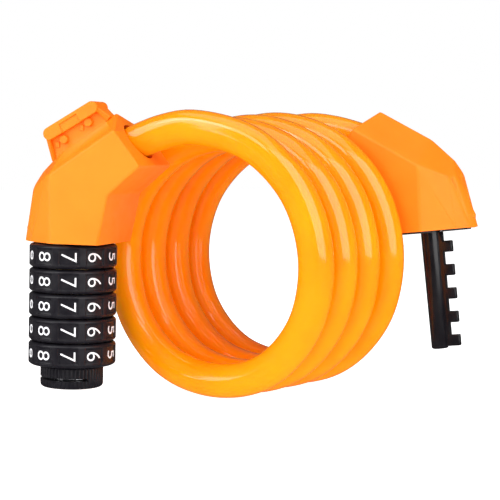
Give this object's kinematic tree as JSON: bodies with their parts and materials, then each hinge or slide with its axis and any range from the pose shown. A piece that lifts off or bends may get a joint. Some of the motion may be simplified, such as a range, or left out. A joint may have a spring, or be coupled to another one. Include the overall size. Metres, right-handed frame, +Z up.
{
  "type": "coiled cable combination lock",
  "caption": "Coiled steel-cable lock: dial-stack lock head and toothed key plug joined by a stiff self-coiling plastic-sleeved cable, with a bracket rail.",
  "frame": {"origin": "middle of the footprint, on the surface that the coil stands on", "axes": "+Z up, +X from the lock head to the plug head, +Y along the coil's axis away from the lock head"},
  "size_m": [0.1258, 0.1226, 0.1027],
  "materials": {
    "housing_orange": "satin moulded orange plastic",
    "cable_orange": "glossy, slightly clear orange plastic sleeve",
    "black_plastic": "near-black moulded plastic, white digits on the dials",
    "black_coated_steel": "black coated hardened steel",
    "steel": "plain steel",
    "zinc": "die-cast zinc, dull grey",
    "brass": "plain brass",
    "wire_rope": "galvanised stranded wire rope"
  },
  "bodies": {
    "lock_head": {"lock_housing": "housing_orange", "lock_base": "black_plastic", "lock_base_screw_left": "steel", "lock_base_screw_right": "steel", "core_barrel": "zinc", "barrel_pin": "steel", "lock_ferrule": "zinc", "lock_ferrule_pin": "steel", "detent_spring": "steel", "hub_spring": "steel", "thrust_washer": "steel", "knob_clip": "steel", "cable_sleeve": "cable_orange", "cable_core": "wire_rope"},
    "dial_1": {"dial_1": "black_plastic", "hub_ring_1": "brass"},
    "dial_2": {"dial_2": "black_plastic", "hub_ring_2": "brass"},
    "dial_3": {"dial_3": "black_plastic", "hub_ring_3": "brass"},
    "dial_4": {"dial_4": "black_plastic", "hub_ring_4": "brass"},
    "dial_5": {"dial_5": "black_plastic", "hub_ring_5": "brass"},
    "reset_knob": {"reset_knob": "black_plastic"},
    "plug_head": {"plug_housing": "housing_orange", "plug_base": "black_plastic", "plug_base_screw_left": "steel", "plug_base_screw_right": "steel", "plug_ferrule": "zinc", "plug_ferrule_pin": "steel", "plug_key": "black_coated_steel", "key_clip": "steel"}
  },
  "joints": [
    {"name": "dial_1_turn", "type": "hinge", "parent": "lock_head", "child": "dial_1", "pos_m": [-0.04559, -0.04583, 0.0497], "axis": [0.02, 0.0063, 0.9998], "continuous": true},
    {"name": "dial_2_turn", "type": "hinge", "parent": "lock_head", "child": "dial_2", "pos_m": [-0.04576, -0.04588, 0.0412], "axis": [0.02, 0.0063, 0.9998], "continuous": true},
    {"name": "dial_3_turn", "type": "hinge", "parent": "lock_head", "child": "dial_3", "pos_m": [-0.04593, -0.04594, 0.0327], "axis": [0.02, 0.0063, 0.9998], "continuous": true},
    {"name": "dial_4_turn", "type": "hinge", "parent": "lock_head", "child": "dial_4", "pos_m": [-0.0461, -0.04599, 0.02421], "axis": [0.02, 0.0063, 0.9998], "continuous": true},
    {"name": "dial_5_turn", "type": "hinge", "parent": "lock_head", "child": "dial_5", "pos_m": [-0.04627, -0.04604, 0.01571], "axis": [0.02, 0.0063, 0.9998], "continuous": true},
    {"name": "reset_knob_turn", "type": "hinge", "parent": "lock_head", "child": "reset_knob", "pos_m": [-0.04644, -0.04609, 0.00741], "axis": [-0.02, -0.0063, -0.9998], "range_deg": [0, 90]},
    {"name": "cable_stretch", "type": "slide", "parent": "lock_head", "child": "plug_head", "axis": [0, 1, 0], "range_m": [0, 0.12], "stiffness_N_per_m": 160, "deforming": ["cable_sleeve", "cable_core"]}
  ]
}
